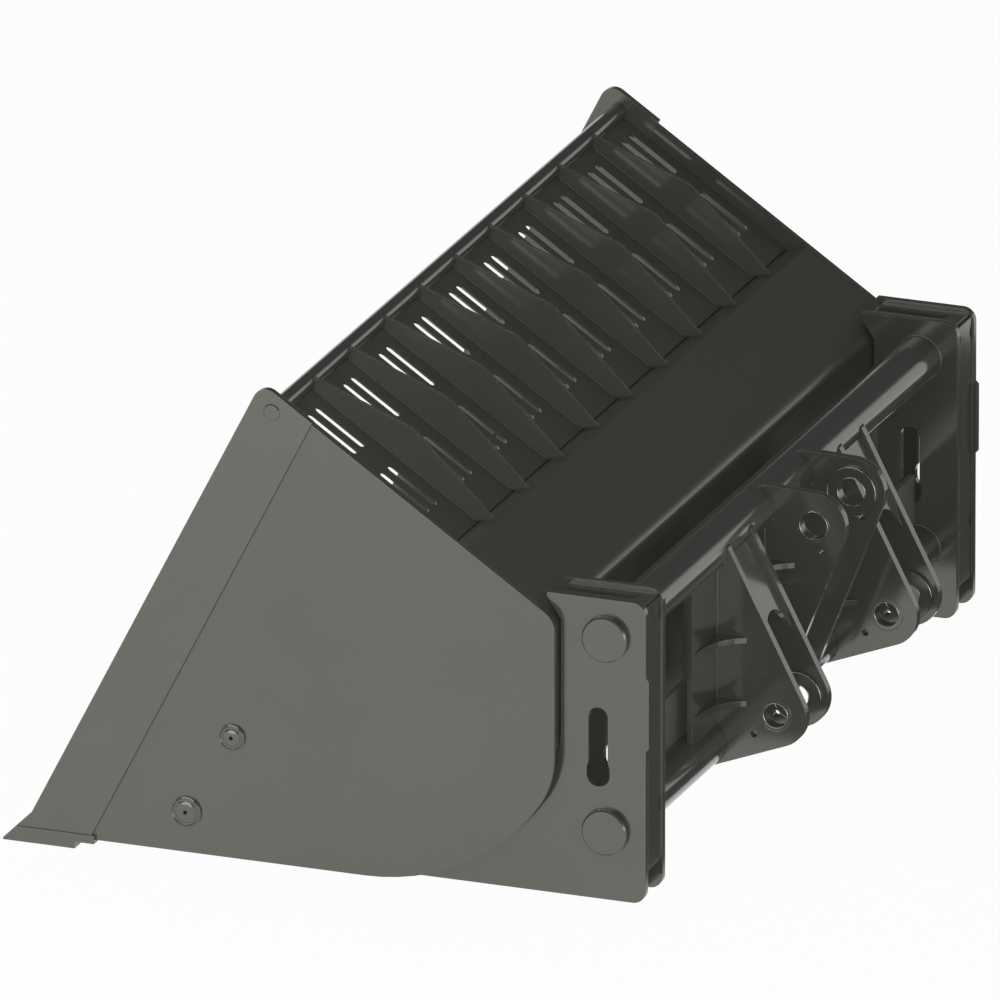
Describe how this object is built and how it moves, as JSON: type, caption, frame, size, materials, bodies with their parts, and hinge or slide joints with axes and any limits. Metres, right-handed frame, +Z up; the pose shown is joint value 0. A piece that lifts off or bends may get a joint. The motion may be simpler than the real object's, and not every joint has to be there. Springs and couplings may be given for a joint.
{
  "type": "high dump bucket",
  "caption": "High dump bucket: a wide bowl that tips forward over front hinges on a rear carrier frame with cross tubes, coupler ears, tipping cylinders and a slotted spill guard.",
  "frame": {"origin": "middle of the part's bounding box, on the underside of the cutting edge", "axes": "+X to the part's left seen from the loader, along the cutting edge; +Y to the rear, where the coupler ears are; +Z up. The mouth looks to -Y."},
  "size_m": [2.744, 2.0789, 1.4269],
  "materials": {
    "painted_plate": "satin dark grey paint",
    "wear_steel": "satin dark grey paint on wear plate",
    "pin_steel": "turned steel",
    "chromed_rod": "hard chrome",
    "cylinder_paint": "satin black paint"
  },
  "bodies": {
    "carrier_frame": {"frame_plate_outer_left": "painted_plate", "frame_plate_outer_right": "painted_plate", "frame_plate_inner_left": "painted_plate", "frame_plate_inner_right": "painted_plate", "arm_floor_left": "painted_plate", "arm_floor_right": "painted_plate", "box_rear_wall_left": "painted_plate", "box_rear_wall_right": "painted_plate", "box_front_wall_left": "painted_plate", "box_front_wall_right": "painted_plate", "box_top_cap_left": "painted_plate", "box_top_cap_right": "painted_plate", "hinge_bushes": "pin_steel", "base_pins": "pin_steel", "cross_tube_upper": "painted_plate", "cross_tube_lower": "painted_plate", "tube_end_caps": "painted_plate", "hook_ear_outer_left": "painted_plate", "hook_ear_inner_left": "painted_plate", "hook_ear_inner_right": "painted_plate", "hook_ear_outer_right": "painted_plate", "tilt_ear_left": "painted_plate", "tilt_ear_right": "painted_plate", "hook_bushes": "pin_steel", "tilt_bushes": "pin_steel", "hook_web_left": "painted_plate", "hook_web_right": "painted_plate", "ear_gusset_left": "painted_plate", "ear_gusset_right": "painted_plate", "ear_ribs": "painted_plate", "shield_plate_left": "painted_plate", "shield_plate_right": "painted_plate"},
    "bowl": {"side_plate_left": "painted_plate", "side_plate_right": "painted_plate", "side_cutter_left": "wear_steel", "side_cutter_right": "wear_steel", "cutting_edge": "wear_steel", "bowl_shell": "painted_plate", "tunnel_wall_left": "painted_plate", "tunnel_wall_right": "painted_plate", "tunnel_cover_left": "painted_plate", "tunnel_cover_right": "painted_plate", "spill_guard": "painted_plate", "guard_ribs": "painted_plate", "rim_tube": "painted_plate", "hinge_pin_left": "pin_steel", "hinge_pin_right": "pin_steel", "hinge_collars": "pin_steel", "rod_pin_bosses": "pin_steel", "pin_caps": "pin_steel"},
    "barrel_left": {"cylinder_barrel_left": "cylinder_paint", "cylinder_gland_left": "painted_plate"},
    "barrel_right": {"cylinder_barrel_right": "cylinder_paint", "cylinder_gland_right": "painted_plate"},
    "rod_left": {"piston_rod_left": "chromed_rod", "rod_eye_left": "painted_plate", "rod_pin_left": "pin_steel"},
    "rod_right": {"piston_rod_right": "chromed_rod", "rod_eye_right": "painted_plate", "rod_pin_right": "pin_steel"}
  },
  "joints": [
    {"name": "bowl_tip", "type": "hinge", "parent": "carrier_frame", "child": "bowl", "pos_m": [0, -0.4955, 0.149], "axis": [1, 0, 0], "range_deg": [0, 75]},
    {"name": "barrel_pivot_left", "type": "hinge", "parent": "carrier_frame", "child": "barrel_left", "pos_m": [1.242, 0.3365, 0.19], "axis": [1, 0, 0], "range_deg": [-1, 8]},
    {"name": "barrel_pivot_right", "type": "hinge", "parent": "carrier_frame", "child": "barrel_right", "pos_m": [-1.242, 0.3365, 0.19], "axis": [1, 0, 0], "range_deg": [-1, 8]},
    {"name": "rod_slide_left", "type": "slide", "parent": "barrel_left", "child": "rod_left", "axis": [0, -0.9625, 0.2714], "range_m": [0, 0.32]},
    {"name": "rod_slide_right", "type": "slide", "parent": "barrel_right", "child": "rod_right", "axis": [0, -0.9625, 0.2714], "range_m": [0, 0.32]}
  ],
  "couplings": [
    {"joint": "barrel_pivot_left", "follows": "bowl_tip", "ratio": 0.097083},
    {"joint": "barrel_pivot_right", "follows": "bowl_tip", "ratio": 0.097083},
    {"joint": "rod_slide_left", "follows": "bowl_tip", "m_per_rad": 0.24038},
    {"joint": "rod_slide_right", "follows": "bowl_tip", "m_per_rad": 0.24038}
  ]
}
